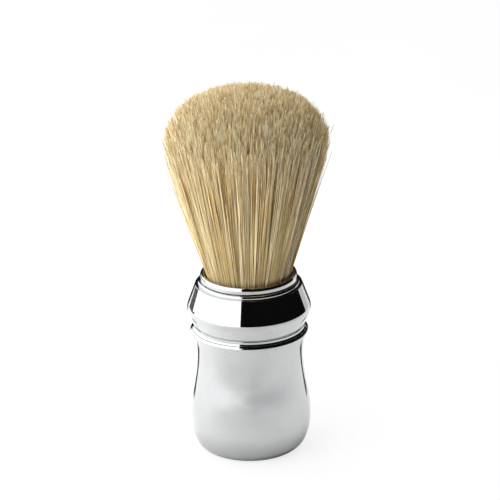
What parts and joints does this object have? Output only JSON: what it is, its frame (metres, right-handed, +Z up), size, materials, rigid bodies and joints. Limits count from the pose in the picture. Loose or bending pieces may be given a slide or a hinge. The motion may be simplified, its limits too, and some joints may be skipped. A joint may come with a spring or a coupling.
{
  "type": "shaving brush",
  "caption": "Shaving brush: pale boar-bristle fan in a plated ferrule, on a bright plated handle whose collar unscrews from the waisted grip.",
  "frame": {"origin": "centre of the foot, on the surface that the brush stands on", "axes": "+Z up along the brush's own axis, from the foot to the crown of the bristles; X and Y are equal, because the brush is turned"},
  "size_m": [0.0518, 0.0518, 0.12],
  "materials": {
    "chrome_plate": "polished",
    "cast_filler": "matte",
    "moulded_plastic": "satin",
    "washer_rubber": "matte",
    "amber_resin": "gloss",
    "twine": "matte",
    "boar_bristle": "satin"
  },
  "bodies": {
    "grip": {"grip_jacket": "chrome_plate", "grip_filler": "cast_filler", "base_cap": "moulded_plastic", "threaded_bush": "moulded_plastic"},
    "washer": {"joint_washer": "washer_rubber"},
    "head": {"collar_jacket": "chrome_plate", "collar_core": "moulded_plastic", "ferrule_cup": "chrome_plate", "resin_plug": "amber_resin", "binding_thread": "twine", "ferrule_adhesive": "amber_resin", "bristle_roots": "boar_bristle"},
    "tuft": {"bristle_tuft": "boar_bristle"}
  },
  "joints": [
    {"name": "head_lift", "type": "slide", "parent": "grip", "child": "washer", "axis": [0, 0, 1], "range_m": [0, 0.009]},
    {"name": "head_unscrew", "type": "hinge", "parent": "washer", "child": "head", "pos_m": [0, 0, 0.039], "axis": [0, 0, 1], "range_deg": [0, 1079]},
    {"name": "tuft_bend", "type": "hinge", "parent": "head", "child": "tuft", "pos_m": [0, 0, 0.0588], "axis": [0, 1, 0], "range_deg": [-25, 25], "stiffness_Nm_per_rad": 0.3}
  ],
  "couplings": [
    {"joint": "head_lift", "follows": "head_unscrew", "m_per_rad": 0.00047746}
  ]
}
